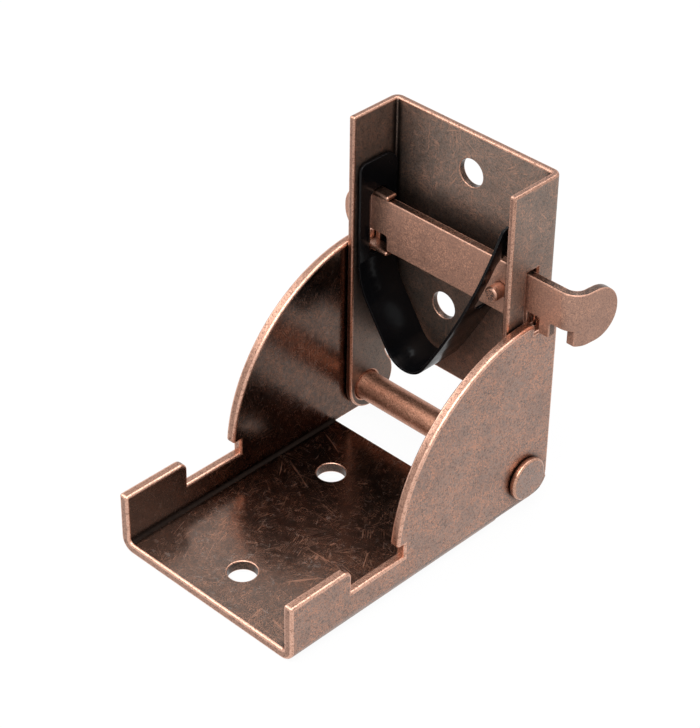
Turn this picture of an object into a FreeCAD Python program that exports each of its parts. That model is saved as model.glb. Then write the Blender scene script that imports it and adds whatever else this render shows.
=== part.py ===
import FreeCAD, Part
import math
import os
import Sketcher

# Folding leg bracket for a table leg: two bent steel leaves on one pivot, with a spring latch
# that holds the leg open and folded until the thumb lever is pushed in.
# X runs along the pivot (thumb lever on +X), Y runs from the open front of the base (-Y) to the
# pivot (+Y), Z is up, and the origin is the middle of the base plate's underside.

os.makedirs("parts", exist_ok=True)
doc = FreeCAD.newDocument("FoldingLegBracket")

# Every driving size in millimetres, or degrees where the name says so.
SIZES = {
    # base leaf
    "base_width": 38.0,        # over the outer faces of the two ears
    "base_sheet": 1.8,         # sheet the base leaf is bent from
    "base_bend": 0.6,          # inside radius of the base leaf's bends
    "floor_length": 45.4,      # base plate, front edge to rear edge
    "pivot_back": 6.2,         # pivot axis behind the plate's rear edge
    "pivot_height": 6.7,       # pivot axis above the underside
    "ear_radius": 29.2,        # arc of the ears about the pivot
    "ear_back": 5.7,           # ears' upright back edge behind the pivot
    "ear_foot": 1.6,           # free lower edge of the ears behind the plate
    "ear_corner": 3.6,         # rounded lower rear corner of the ears
    "ear_tip_round": 0.5,      # rounding of the arc's two ends
    "tab_length": 12.6,        # front side tabs
    "tab_height": 10.8,
    "tab_corner": 1.3,         # rounded rear top corner of the front tabs
    "rail_height": 6.4,        # low side rail between tab and ear
    # leg leaf
    "leg_sheet": 1.2,
    "leg_bend": 0.3,
    "leg_front": 3.9,          # walls' front edge ahead of the pivot
    "leg_back": 6.9,           # web's outer face behind the pivot
    "leg_top": 52.5,           # leg leaf above the pivot
    "side_gap": 0.25,          # running clearance between leg walls and ears
    "lug_radius": 5.05,        # rounded lower end, level with the walls' front edge
    "lug_rise": 0.4,           # its centre above the pivot
    "lug_neck": 3.6,           # height above the pivot where the lug's curve ends at the back
    "neck_back": 4.0,          # wall's narrowest point under the web
    "web_foot": 6.0,           # web's lower edge above the pivot
    "neck_round": 0.8,
    # pivot pin
    "pin_radius": 2.5,
    "pin_press": 0.02,         # radial room in the ears, which hold the pin
    "pin_clearance": 0.06,     # radial running clearance in the leg walls
    "pin_head_radius": 3.7,
    "pin_head_height": 1.2,
    "pin_head_round": 0.45,
    # latch bar
    "bar_sheet": 1.5,
    "bar_front": 0.5,          # bar's front face behind the pivot axis
    "catch_depth": 1.4,        # how far the bar's lower edge stands in the ears' catches
    "bar_height": 9.3,
    "bar_tail": 2.9,           # bar's rounded end beyond the left ear
    "bar_end_flat": 0.5,       # flat left between the two corners of the rounded end
    "bar_neck": 4.3,           # straight part of the bar beyond the right ear
    "pad_bend": 1.8,           # inside radius of the bend
    "pad_lean": 5.5,           # degrees that the pad stands open beyond a right angle
    "pad_length": 6.0,         # flat pad beyond the bend
    "pad_flat": 0.3,           # flat left between the pad's two rounded corners
    "latch_travel": 4.4,       # push that releases the leg
    "latch_gap": 0.2,          # side room of the bar's notches at an ear's inner face
    "lock_gap": 0.2,           # room between the bar and the ears' catches
    "relief_gap": 0.3,         # room at the ears where the bar is relieved at rest
    "notch_gap": 1.3,          # height of the bar's notches above the ears' arc
    "notch_spare": 0.7,        # extra width of the outer notch, next to the thumb pad
    "hook_front": 0.9,         # outer notch's end in the bend, behind the bar's front face
    "notch_round": 0.5,
    # guides for the bar in the leg walls
    "slot_gap": 0.4,           # room in front of and behind the bar in the walls' slots
    "slot_rise": 0.5,          # extra room above the bar in the slot on the lever's side
    "guide_gap": 0.1,          # room above and below the bar at the bent guide tongues
    "guide_sheet": 0.8,
    "guide_length": 3.6,       # tongues, inward from the left wall
    # stop stud on the bar
    "stud_radius": 1.25,
    "stud_inset": 4.25,        # stud's axis from the right wall's inner face
    "stud_rise": 4.25,         # and above the bar's lower edge
    "stud_reach": 2.4,         # stud's end ahead of the bar's front face
    "stud_press": 0.02,
    "stud_chamfer": 0.25,
    # return spring
    "spring_sheet": 0.45,
    "spring_gap": 0.4,         # spring's left arm from the leg's inner face
    "spring_right_gap": 1.3,   # top of the right arm from the leg's inner face
    "spring_front_gap": 0.8,   # spring's front edge behind the leg's front edge
    "spring_rear_gap": 0.5,    # spring's rear edge ahead of the web, clear of its bends
    "spring_left_rise": 6.8,   # top of the left arm above the bar
    "spring_right_rise": 8.4,
    "spring_knee_drop": 1.9,   # where the left arm leaves the wall, below the bar
    "spring_knee_bend": 13.0,
    "spring_apex_out": 4.7,    # centre of the lower bend, left of the middle
    "spring_apex_drop": 13.1,  # and below the bar
    "spring_apex_bend": 4.6,
    "spring_arm_bend": 130.0,  # slight outward bow of the right arm
    "spring_corner": 2.6,      # rounded rear top corners
    "spring_tip": 1.2,         # rounded front top corners
    "window_front": 1.5,       # room ahead of the bar in the arms' windows
    "window_back": 1.2,
    "window_end": 0.5,         # room beyond the guide tongues
    "window_round": 1.8,       # rounded corners of the windows
    # screw holes
    "screw_radius": 2.4,
    "base_screw_front": 8.0,   # front hole behind the plate's front edge
    "base_screw_rear": 35.0,
    "base_screw_side": 7.6,    # rear hole, left of the middle
    "leg_screw_high": 7.0,     # upper hole below the leaf's top edge
    "leg_screw_low": 33.8,
    "leg_screw_side": 4.5,     # lower hole, left of the middle
    # tool overrun beyond an edge that is cut away
    "overrun": 1.0,
}

sheet = doc.addObject("Spreadsheet::Sheet", "Sizes")
for row, (alias, number) in enumerate(SIZES.items(), start=1):
    sheet.set("A%d" % row, alias)
    sheet.set("B%d" % row, str(number))
    sheet.setAlias("B%d" % row, alias)
doc.recompute()


class Size:
    """A length with the sheet expression that drives it."""

    def __init__(self, value, text):
        self.value = value
        self.text = text

    def __add__(self, other):
        other = as_size(other)
        return Size(self.value + other.value, "(%s + %s)" % (self.text, other.text))

    def __sub__(self, other):
        other = as_size(other)
        return Size(self.value - other.value, "(%s - %s)" % (self.text, other.text))

    def __mul__(self, other):
        other = as_size(other)
        return Size(self.value * other.value, "(%s * %s)" % (self.text, other.text))

    def __truediv__(self, other):
        other = as_size(other)
        return Size(self.value / other.value, "(%s / %s)" % (self.text, other.text))

    def __neg__(self):
        return Size(-self.value, "(0 - %s)" % self.text)


def as_size(thing):
    """A plain number as a Size."""
    if isinstance(thing, Size):
        return thing
    return Size(float(thing), repr(float(thing)))


def cell(alias):
    """The sheet's size of that name."""
    return Size(SIZES[alias], "Sizes.%s" % alias)


def root(size):
    """Square root of a Size."""
    return Size(math.sqrt(size.value), "sqrt(%s)" % size.text)


def cosine(size):
    """Cosine of a Size in degrees."""
    return Size(math.cos(math.radians(size.value)), "cos(%s)" % size.text)


def sine(size):
    """Sine of a Size in degrees."""
    return Size(math.sin(math.radians(size.value)), "sin(%s)" % size.text)


def bind(obj, path, size):
    """Binds a property to its size in the sheet."""
    obj.setExpression(path, as_size(size).text)


def new_body(label, y=None, z=None):
    """An empty body whose origin sits y behind and z above the part's origin."""
    body = doc.addObject("PartDesign::Body", label)
    body.Label = label
    if y is not None:
        bind(body, "Placement.Base.y", y)
    if z is not None:
        bind(body, "Placement.Base.z", z)
    return body


def new_sketch(body, name, plane, offset=None):
    """A sketch on one of the body's own origin planes, moved along its normal."""
    sketch = body.newObject("Sketcher::SketchObject", name)
    support = [f for f in body.Origin.OriginFeatures if f.Role == plane][0]
    sketch.AttachmentSupport = [(support, "")]
    sketch.MapMode = "FlatFace"
    if offset is not None:
        bind(sketch, "AttachmentOffset.Base.z", offset)
    return sketch


def fix(sketch, kind, index, position, size):
    """One coordinate of a sketch point, bound to the sheet."""
    size = as_size(size)
    number = sketch.addConstraint(Sketcher.Constraint(kind, index, position, size.value))
    bind(sketch, "Constraints[%d]" % number, size)


def turn(centre, point):
    """Angle of a point about a centre."""
    return math.atan2(point[1] - centre[1], point[0] - centre[0])


def draw(sketch, corners):
    """A closed chain. Each corner is (x, y), then which coordinates are set, then the arc to the
    next corner as (centre x, centre y, runs anticlockwise), or None for a straight edge."""
    first = sketch.GeometryCount
    total = len(corners)
    ends = []
    for i, (x, y, keep, arc) in enumerate(corners):
        a = (as_size(x).value, as_size(y).value)
        b = tuple(as_size(v).value for v in corners[(i + 1) % total][:2])
        if arc is None:
            line = Part.LineSegment(FreeCAD.Vector(a[0], a[1], 0), FreeCAD.Vector(b[0], b[1], 0))
            sketch.addGeometry(line, False)
            ends.append((1, 2))
            continue
        c = (as_size(arc[0]).value, as_size(arc[1]).value)
        circle = Part.Circle(FreeCAD.Vector(c[0], c[1], 0), FreeCAD.Vector(0, 0, 1), math.dist(a, c))
        if arc[2]:
            sketch.addGeometry(Part.ArcOfCircle(circle, turn(c, a), turn(c, b)), False)
            ends.append((1, 2))
        else:
            sketch.addGeometry(Part.ArcOfCircle(circle, turn(c, b), turn(c, a)), False)
            ends.append((2, 1))
    for i in range(total):
        j = (i + 1) % total
        sketch.addConstraint(Sketcher.Constraint("Coincident", first + i, ends[i][1], first + j, ends[j][0]))
    for i, (x, y, keep, arc) in enumerate(corners):
        if "x" in keep:
            fix(sketch, "DistanceX", first + i, ends[i][0], x)
        if "y" in keep:
            fix(sketch, "DistanceY", first + i, ends[i][0], y)
        if arc is not None:
            fix(sketch, "DistanceX", first + i, 3, arc[0])
            fix(sketch, "DistanceY", first + i, 3, arc[1])


def draw_box(sketch, x0, y0, x1, y1):
    """A rectangle between two opposite corners."""
    draw(sketch, [(x0, y0, "xy", None), (x1, y0, "xy", None), (x1, y1, "xy", None), (x0, y1, "xy", None)])


def draw_window(sketch, x0, y0, x1, y1, radius):
    """A rectangle with rounded corners between two opposite corners."""
    left, right, low, high = x0 + radius, x1 - radius, y0 + radius, y1 - radius
    draw(sketch, [
        (left, y0, "x", None),
        (right, y0, "xy", (right, low, True)),
        (x1, low, "y", None),
        (x1, high, "xy", (right, high, True)),
        (right, y1, "x", None),
        (left, y1, "xy", (left, high, True)),
        (x0, high, "y", None),
        (x0, low, "xy", (left, low, True)),
    ])


def draw_circle(sketch, x, y, radius):
    """A full circle."""
    x, y, radius = as_size(x), as_size(y), as_size(radius)
    centre = FreeCAD.Vector(x.value, y.value, 0)
    index = sketch.addGeometry(Part.Circle(centre, FreeCAD.Vector(0, 0, 1), radius.value), False)
    fix(sketch, "DistanceX", index, 3, x)
    fix(sketch, "DistanceY", index, 3, y)
    number = sketch.addConstraint(Sketcher.Constraint("Radius", index, radius.value))
    bind(sketch, "Constraints[%d]" % number, radius)


def pad(body, sketch, name, length):
    """Material along the sketch's normal."""
    feature = body.newObject("PartDesign::Pad", name)
    feature.Profile = sketch
    bind(feature, "Length", length)
    sketch.Visibility = False
    doc.recompute()
    return feature


def pocket(body, sketch, name, side="both"):
    """A cut right through: both ways, or only along or against the sketch's normal."""
    before = body.Shape.Volume
    feature = body.newObject("PartDesign::Pocket", name)
    feature.Profile = sketch
    feature.Type = "ThroughAll"
    if side == "both":
        feature.SideType = "Symmetric"
    feature.Reversed = side == "along"
    sketch.Visibility = False
    doc.recompute()
    if not body.Shape.Volume < before - 0.01:
        raise RuntimeError("%s removes nothing" % name)
    return feature


def edges_where(shape, wanted):
    """Names of the straight edges whose middle and direction pass the test."""
    found = []
    for number, edge in enumerate(shape.Edges, start=1):
        if edge.Curve.TypeId != "Part::GeomLine":
            continue
        middle = edge.CenterOfMass
        if wanted(middle, edge.Curve.Direction):
            found.append("Edge%d" % number)
    return found


def near(a, b):
    """Same place to a hundredth of a millimetre."""
    return abs(a - as_size(b).value) < 0.01


def fillet(body, name, names, radius):
    """Rounds the named edges of the body's last feature."""
    solid = body.Tip
    feature = body.newObject("PartDesign::Fillet", name)
    feature.Base = (solid, names)
    bind(feature, "Radius", radius)
    doc.recompute()
    return feature


half = cell("base_width") / 2
ear_in = half - cell("base_sheet")
pivot_y = cell("floor_length") / 2 + cell("pivot_back")
pivot_z = cell("pivot_height")
plate_front = -(cell("pivot_back") + cell("floor_length"))
plate_rear = -cell("pivot_back")
arc_top = cell("ear_radius")
bar_low = arc_top - cell("catch_depth")
bar_high = bar_low + cell("bar_height")
bar_back = cell("bar_front") + cell("bar_sheet")
notch_top = arc_top + cell("notch_gap")
catch_floor = bar_low - cell("lock_gap")
over = cell("overrun")

# Base leaf: a channel bent from one sheet, its walls then cut to tabs, low rails and ears.
# Its own Y is counted from the pivot axis.
base = new_body("base_bracket", y=pivot_y)
ro = cell("base_bend") + cell("base_sheet")
ri = cell("base_bend")
top = pivot_z + arc_top
floor_top = cell("base_sheet")
section = new_sketch(base, "BaseSection", "XZ_Plane", -cell("ear_back"))
draw(section, [
    (-half + ro, 0, "x", None),
    (half - ro, 0, "xy", (half - ro, ro, True)),
    (half, ro, "y", None),
    (half, top, "xy", None),
    (ear_in, top, "xy", None),
    (ear_in, floor_top + ri, "xy", (ear_in - ri, floor_top + ri, False)),
    (ear_in - ri, floor_top, "x", None),
    (-ear_in + ri, floor_top, "xy", (-ear_in + ri, floor_top + ri, False)),
    (-ear_in, floor_top + ri, "y", None),
    (-ear_in, top, "xy", None),
    (-half, top, "xy", None),
    (-half, ro, "xy", (-half + ro, ro, True)),
])
pad(base, section, "BaseChannel", cell("ear_back") - plate_front)

# Side view of the walls: front tab, low rail, catch for the folded leg, arc about the pivot,
# catch for the open leg at the top, and the upright back edge.
tip_z = pivot_z + bar_back + cell("lock_gap")
tip_y = -root(arc_top * arc_top - (tip_z - pivot_z) * (tip_z - pivot_z))
lock_front = cell("bar_front") - cell("lock_gap")
lock_back = bar_back + cell("lock_gap")
tab_rear = plate_front + cell("tab_length")
tab_top = cell("tab_height")
tab_r = cell("tab_corner")
rail = cell("rail_height")


def on_arc(y):
    """Height of the ears' arc at y."""
    return pivot_z + root(arc_top * arc_top - y * y)


walls = new_sketch(base, "BaseSideView", "YZ_Plane")
draw(walls, [
    (plate_front - over, tab_top, "xy", None),
    (tab_rear - tab_r, tab_top, "xy", (tab_rear - tab_r, tab_top - tab_r, False)),
    (tab_rear, tab_top - tab_r, "y", None),
    (tab_rear, rail, "xy", None),
    (-catch_floor, rail, "xy", None),
    (-catch_floor, tip_z, "xy", None),
    (tip_y, tip_z, "xy", (0, pivot_z, False)),
    (lock_front, on_arc(lock_front), "x", None),
    (lock_front, pivot_z + catch_floor, "xy", None),
    (lock_back, pivot_z + catch_floor, "xy", None),
    (lock_back, on_arc(lock_back), "xy", (0, pivot_z, False)),
    (cell("ear_back"), on_arc(cell("ear_back")), "x", None),
    (cell("ear_back") + over, on_arc(cell("ear_back")), "xy", None),
    (cell("ear_back") + over, top + over, "xy", None),
    (plate_front - over, top + over, "xy", None),
])
pocket(base, walls, "BaseWallOutline")

foot = new_sketch(base, "EarFoot", "YZ_Plane")
corner_y = cell("ear_back") - cell("ear_corner")
corner_z = cell("ear_foot") + cell("ear_corner")
draw(foot, [
    (plate_rear, -over, "xy", None),
    (cell("ear_back") + over, -over, "xy", None),
    (cell("ear_back") + over, corner_z, "xy", None),
    (cell("ear_back"), corner_z, "xy", (corner_y, corner_z, False)),
    (corner_y, cell("ear_foot"), "x", None),
    (plate_rear, cell("ear_foot"), "xy", None),
])
pocket(base, foot, "EarFootCut")

gap = new_sketch(base, "PlateRearEdge", "XY_Plane")
draw_box(gap, -ear_in, plate_rear, ear_in, cell("ear_back") + over)
pocket(base, gap, "PlateRearCut")

base_screws = new_sketch(base, "BaseScrewHoles", "XY_Plane")
draw_circle(base_screws, 0, plate_front + cell("base_screw_front"), cell("screw_radius"))
draw_circle(base_screws, -cell("base_screw_side"), plate_front + cell("base_screw_rear"), cell("screw_radius"))
pocket(base, base_screws, "BaseScrewCut")

base_pin = new_sketch(base, "BasePinHoles", "YZ_Plane")
draw_circle(base_pin, 0, pivot_z, cell("pin_radius") + cell("pin_press"))
pocket(base, base_pin, "BasePinCut")

tips = edges_where(base.Shape, lambda m, d: abs(d.x) > 0.99 and (
    (near(m.y, tip_y + pivot_y) and near(m.z, tip_z))
    or (near(m.y, lock_front + pivot_y) and near(m.z, on_arc(lock_front)))))
fillet(base, "ArcEnds", tips, cell("ear_tip_round"))

# Leg leaf: a narrower channel that stands between the ears with its web at the back.
# Its own origin is the pivot axis.
leg = new_body("leg_bracket", y=pivot_y, z=pivot_z)
leg_out = ear_in - cell("side_gap")
leg_in = leg_out - cell("leg_sheet")
lro = cell("leg_bend") + cell("leg_sheet")
lri = cell("leg_bend")
front = cell("leg_front")
back = cell("leg_back")
web_in = back - cell("leg_sheet")
lug = cell("lug_radius")
leg_section = new_sketch(leg, "LegSection", "XY_Plane", -lug)
draw(leg_section, [
    (-leg_out, -front, "xy", None),
    (-leg_in, -front, "xy", None),
    (-leg_in, web_in - lri, "xy", (-leg_in + lri, web_in - lri, False)),
    (-leg_in + lri, web_in, "x", None),
    (leg_in - lri, web_in, "xy", (leg_in - lri, web_in - lri, False)),
    (leg_in, web_in - lri, "y", None),
    (leg_in, -front, "xy", None),
    (leg_out, -front, "xy", None),
    (leg_out, back - lro, "xy", (leg_out - lro, back - lro, True)),
    (leg_out - lro, back, "x", None),
    (-leg_out + lro, back, "xy", (-leg_out + lro, back - lro, True)),
    (-leg_out, back - lro, "y", None),
])
pad(leg, leg_section, "LegChannel", lug + cell("leg_top"))

# Side view of the lower end: a lug round the pivot, a neck, and the web's lower edge.
lug_y = lug - front
lug_z = cell("lug_rise")
lug_turn = cell("lug_neck") - lug_z
lug_back = lug_y + root(lug * lug - lug_turn * lug_turn)
leg_side = new_sketch(leg, "LegSideView", "YZ_Plane")
draw(leg_side, [
    (-front, lug_z, "xy", (lug_y, lug_z, True)),
    (lug_back, cell("lug_neck"), "y", None),
    (cell("neck_back"), cell("web_foot"), "xy", None),
    (back + over, cell("web_foot"), "xy", None),
    (back + over, -lug - over, "xy", None),
    (-front - over, -lug - over, "xy", None),
    (-front - over, lug_z, "xy", None),
])
pocket(leg, leg_side, "LegEndOutline")

# Below the web the lugs are flat: nothing of the bends is left between them.
between = new_sketch(leg, "BetweenLugs", "XY_Plane", cell("web_foot"))
draw_box(between, -leg_in, web_in - lri, leg_in, back + over)
pocket(leg, between, "BetweenLugsCut", side="against")
for name, inner in (("LeftLug", -leg_out), ("RightLug", leg_in)):
    disc = new_sketch(leg, name, "YZ_Plane", inner)
    draw_circle(disc, lug_y, lug_z, lug)
    pad(leg, disc, name + "Flat", cell("leg_sheet"))

slot_front = cell("bar_front") - cell("slot_gap")
slot_back = bar_back + cell("slot_gap")
slot_low = bar_low - cell("guide_gap")
slot_high = bar_high + cell("guide_gap")
slots = new_sketch(leg, "BarSlots", "YZ_Plane")
draw_box(slots, slot_front, slot_low, slot_back, slot_high)
pocket(leg, slots, "BarSlotsCut")

lever_slot = new_sketch(leg, "LeverSideSlot", "YZ_Plane")
draw_box(lever_slot, slot_front, bar_high, slot_back, bar_high + cell("slot_rise"))
pocket(leg, lever_slot, "LeverSideSlotCut", side="along")

# The left slot's waste is bent inward as two tongues that guide the bar.
tongues = new_sketch(leg, "GuideTongues", "YZ_Plane", -(leg_in + cell("leg_sheet") / 2))
draw_box(tongues, slot_front, slot_high, slot_back, slot_high + cell("guide_sheet"))
draw_box(tongues, slot_front, slot_low - cell("guide_sheet"), slot_back, slot_low)
pad(leg, tongues, "GuideTonguesPad", cell("leg_sheet") / 2 + cell("guide_length"))

leg_screws = new_sketch(leg, "LegScrewHoles", "XZ_Plane")
draw_circle(leg_screws, 0, cell("leg_top") - cell("leg_screw_high"), cell("screw_radius"))
draw_circle(leg_screws, -cell("leg_screw_side"), cell("leg_top") - cell("leg_screw_low"), cell("screw_radius"))
pocket(leg, leg_screws, "LegScrewCut")

leg_pin = new_sketch(leg, "LegPinHoles", "YZ_Plane")
draw_circle(leg_pin, 0, 0, cell("pin_radius") + cell("pin_clearance"))
pocket(leg, leg_pin, "LegPinCut")

necks = edges_where(leg.Shape, lambda m, d: abs(d.x) > 0.99
                    and near(m.y, cell("neck_back") + pivot_y) and near(m.z, cell("web_foot") + pivot_z))
fillet(leg, "NeckRounds", necks, cell("neck_round"))

# Pivot pin: one rivet through both leaves, headed outside each ear.
pin = new_body("pivot_pin", y=pivot_y, z=pivot_z)
head_x = half + cell("pin_head_height")
head_r = cell("pin_head_radius")
hr = cell("pin_head_round")
pin_sketch = new_sketch(pin, "PinHalfSection", "XZ_Plane")
draw(pin_sketch, [
    (-head_x, 0, "xy", None),
    (head_x, 0, "xy", None),
    (head_x, head_r - hr, "xy", (head_x - hr, head_r - hr, True)),
    (head_x - hr, head_r, "x", None),
    (half, head_r, "xy", None),
    (half, cell("pin_radius"), "xy", None),
    (-half, cell("pin_radius"), "xy", None),
    (-half, head_r, "xy", None),
    (-head_x + hr, head_r, "xy", (-head_x + hr, head_r - hr, True)),
    (-head_x, head_r - hr, "y", None),
])
spin = pin.newObject("PartDesign::Revolution", "PinTurned")
spin.Profile = pin_sketch
spin.ReferenceAxis = (pin_sketch, ["H_Axis"])
spin.Angle = 360
pin_sketch.Visibility = False
doc.recompute()

# Latch bar: a strip on edge through both walls, its right end bent back as the thumb pad.
# Notches in its lower edge line up with the ears when it is pushed in.
bar = new_body("latch_bar", y=pivot_y, z=pivot_z)
bend_out = cell("pad_bend") + cell("bar_sheet")
bar_end = half + cell("bar_tail")
bend_x = half + cell("bar_neck")
bend_y = cell("bar_front") + bend_out
lean_c = cosine(cell("pad_lean"))
lean_s = sine(cell("pad_lean"))
pad_run = cell("pad_length")


def beyond_bend(radius, run):
    """Point on the pad at that radius of the bend and that far along the flat pad."""
    return (bend_x + radius * lean_c + run * lean_s, bend_y - radius * lean_s + run * lean_c)


outer_start, outer_end = beyond_bend(bend_out, as_size(0)), beyond_bend(bend_out, pad_run)
inner_start, inner_end = beyond_bend(cell("pad_bend"), as_size(0)), beyond_bend(cell("pad_bend"), pad_run)
plan = new_sketch(bar, "BarPlan", "XY_Plane", bar_low)
draw(plan, [
    (-bar_end, cell("bar_front"), "xy", None),
    (bend_x, cell("bar_front"), "xy", (bend_x, bend_y, True)),
    (*outer_start, "y", None),
    (*outer_end, "xy", None),
    (*inner_end, "xy", None),
    (*inner_start, "xy", (bend_x, bend_y, False)),
    (bend_x, bar_back, "x", None),
    (-bar_end, bar_back, "xy", None),
])
pad(bar, plan, "BarStrip", cell("bar_height"))
ends = edges_where(bar.Shape, lambda m, d: abs(d.y) > 0.99 and near(m.x, -bar_end))
fillet(bar, "BarEnd", ends, (cell("bar_height") - cell("bar_end_flat")) / 2)
pad_middle = (outer_end[1] + inner_end[1]) / 2
pads = edges_where(bar.Shape, lambda m, d: abs(d.z) < 0.01 and near(m.y, pad_middle + pivot_y))
fillet(bar, "ThumbPadEnd", pads, (cell("bar_height") - cell("pad_flat")) / 2)

notches = new_sketch(bar, "BarNotches", "XZ_Plane")
shoulder = ear_in - cell("latch_gap") - cell("latch_travel")
tooth_out = ear_in - cell("latch_gap") + cell("latch_travel")
hook_in = half + cell("latch_travel") + cell("notch_spare")
relief_out = half + cell("relief_gap")
relief_in = ear_in - cell("relief_gap")
draw_box(notches, -relief_out, bar_low - over, -shoulder, notch_top)
draw_box(notches, relief_in, bar_low - over, relief_out, notch_top)
draw_box(notches, tooth_out, bar_low - over, hook_in, notch_top)
pocket(bar, notches, "BarNotchesCut")

# The outer notch runs on a little way round the front of the bend.
hook = new_sketch(bar, "HookNotch", "XY_Plane", notch_top)
draw_box(hook, hook_in, cell("bar_front") - over, bend_x + bend_out, cell("bar_front") + cell("hook_front"))
pocket(bar, hook, "HookNotchCut", side="against")

stud_x = leg_in - cell("stud_inset")
stud_z = bar_low + cell("stud_rise")
stud_hole = new_sketch(bar, "StudHole", "XZ_Plane")
draw_circle(stud_hole, stud_x, stud_z, cell("stud_radius") + cell("stud_press"))
pocket(bar, stud_hole, "StudHoleCut")

inner = edges_where(bar.Shape, lambda m, d: abs(d.y) > 0.99 and near(m.z, notch_top + pivot_z)
                    and (near(m.x, -shoulder) or near(m.x, tooth_out)))
fillet(bar, "NotchRounds", inner, cell("notch_round"))

# Stop stud: riveted in the bar, it pushes the spring's right arm when the lever is pressed.
stud = new_body("stop_stud", y=pivot_y, z=pivot_z)
stud_sketch = new_sketch(stud, "StudCircle", "XZ_Plane", -bar_back)
draw_circle(stud_sketch, stud_x, stud_z, cell("stud_radius"))
pad(stud, stud_sketch, "StudPin", cell("bar_sheet") + cell("stud_reach"))
stud_end = cell("bar_front") - cell("stud_reach")
rims = ["Edge%d" % n for n, e in enumerate(stud.Shape.Edges, start=1)
        if e.Curve.TypeId == "Part::GeomCircle" and near(e.CenterOfMass.y, stud_end + pivot_y)]
stud_pin = stud.Tip
chamfer = stud.newObject("PartDesign::Chamfer", "StudEnd")
chamfer.Base = (stud_pin, rims)
bind(chamfer, "Size", cell("stud_chamfer"))
doc.recompute()

# Return spring: one leaf bent to a V between the walls, with a window in each arm for the bar.
spring = new_body("return_spring", y=pivot_y, z=pivot_z)
arm_x = leg_in - cell("spring_gap") - cell("spring_sheet") / 2
right_x = leg_in - cell("spring_right_gap") - cell("spring_sheet") / 2
knee_r = cell("spring_knee_bend")
apex_r = cell("spring_apex_bend")
arm_r = cell("spring_arm_bend")
left_top = bar_high + cell("spring_left_rise")
right_top = bar_high + cell("spring_right_rise")
knee_z = bar_low - cell("spring_knee_drop")
apex_z = bar_low - cell("spring_apex_drop")
a = (-arm_x.value, left_top.value)
k = (-arm_x.value, knee_z.value)
kc = (k[0] + knee_r.value, k[1])
ac = (-cell("spring_apex_out").value, apex_z.value)
c = (right_x.value, right_top.value)

# The left arm runs straight between two bends: their common tangent touches both at this angle.
across = math.atan2(ac[1] - kc[1], ac[0] - kc[0])
left_turn = across - math.acos((knee_r.value - apex_r.value) / math.dist(ac, kc))

# The right arm is one long arc from the lower bend to its top.
span = math.dist(ac, c)
short = arm_r.value - apex_r.value
along = (short * short - arm_r.value * arm_r.value + span * span) / (2 * span)
aside = math.sqrt(short * short - along * along)
way = ((c[0] - ac[0]) / span, (c[1] - ac[1]) / span)
rc = (ac[0] + along * way[0] - aside * way[1], ac[1] + along * way[1] + aside * way[0])
right_turn = math.atan2(ac[1] - rc[1], ac[0] - rc[0])
right_end = math.atan2(c[1] - rc[1], c[0] - rc[0])


def around(centre, radius, angle):
    """A point on a circle, in the sketch's plane."""
    return FreeCAD.Vector(centre[0] + radius * math.cos(angle), centre[1] + radius * math.sin(angle), 0)


def bend(centre, radius, start, end):
    """An arc of the spring's path, run anticlockwise."""
    middle = FreeCAD.Vector(centre[0], centre[1], 0)
    return Part.ArcOfCircle(Part.Circle(middle, FreeCAD.Vector(0, 0, 1), radius), start, end)


path = new_sketch(spring, "SpringPath", "XZ_Plane")
full = 2 * math.pi
knee_end = around(kc, knee_r.value, left_turn)
apex_start = around(ac, apex_r.value, left_turn)
path.addGeometry(Part.LineSegment(FreeCAD.Vector(a[0], a[1], 0), FreeCAD.Vector(k[0], k[1], 0)), False)
path.addGeometry(bend(kc, knee_r.value, math.pi, left_turn + full), False)
path.addGeometry(Part.LineSegment(knee_end, apex_start), False)
path.addGeometry(bend(ac, apex_r.value, left_turn + full, right_turn + full), False)
path.addGeometry(bend(rc, arm_r.value, right_turn + full, right_end + full), False)
for one, two in ((0, 1), (1, 2), (2, 3), (3, 4)):
    path.addConstraint(Sketcher.Constraint("Tangent", one, 2, two, 1))
path.addConstraint(Sketcher.Constraint("Vertical", 0))
for number, size in ((1, knee_r), (3, apex_r), (4, arm_r)):
    mark = path.addConstraint(Sketcher.Constraint("Radius", number, size.value))
    bind(path, "Constraints[%d]" % mark, size)
fix(path, "DistanceX", 0, 1, -arm_x)
fix(path, "DistanceY", 0, 1, left_top)
fix(path, "DistanceY", 0, 2, knee_z)
fix(path, "DistanceX", 3, 3, -cell("spring_apex_out"))
fix(path, "DistanceY", 3, 3, apex_z)
fix(path, "DistanceX", 4, 2, right_x)
fix(path, "DistanceY", 4, 2, right_top)

strip = new_sketch(spring, "SpringSection", "XY_Plane", left_top)
strip_front = -front + cell("spring_front_gap")
strip_back = web_in - cell("spring_rear_gap")
draw_box(strip, -arm_x - cell("spring_sheet") / 2, strip_front, -arm_x + cell("spring_sheet") / 2, strip_back)
doc.recompute()
sweep = spring.newObject("PartDesign::AdditivePipe", "SpringLeaf")
sweep.Profile = strip
sweep.Spine = (path, [])
path.Visibility = False
strip.Visibility = False
doc.recompute()

window_low = slot_low - cell("guide_sheet") - cell("window_end")
window_high = slot_high + cell("guide_sheet") + cell("window_end")
for name, side in (("LeftWindow", "against"), ("RightWindow", "along")):
    window = new_sketch(spring, name, "YZ_Plane")
    draw_window(window, cell("bar_front") - cell("window_front"), window_low,
                bar_back + cell("window_back"), window_high, cell("window_round"))
    pocket(spring, window, name + "Cut", side=side)

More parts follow.
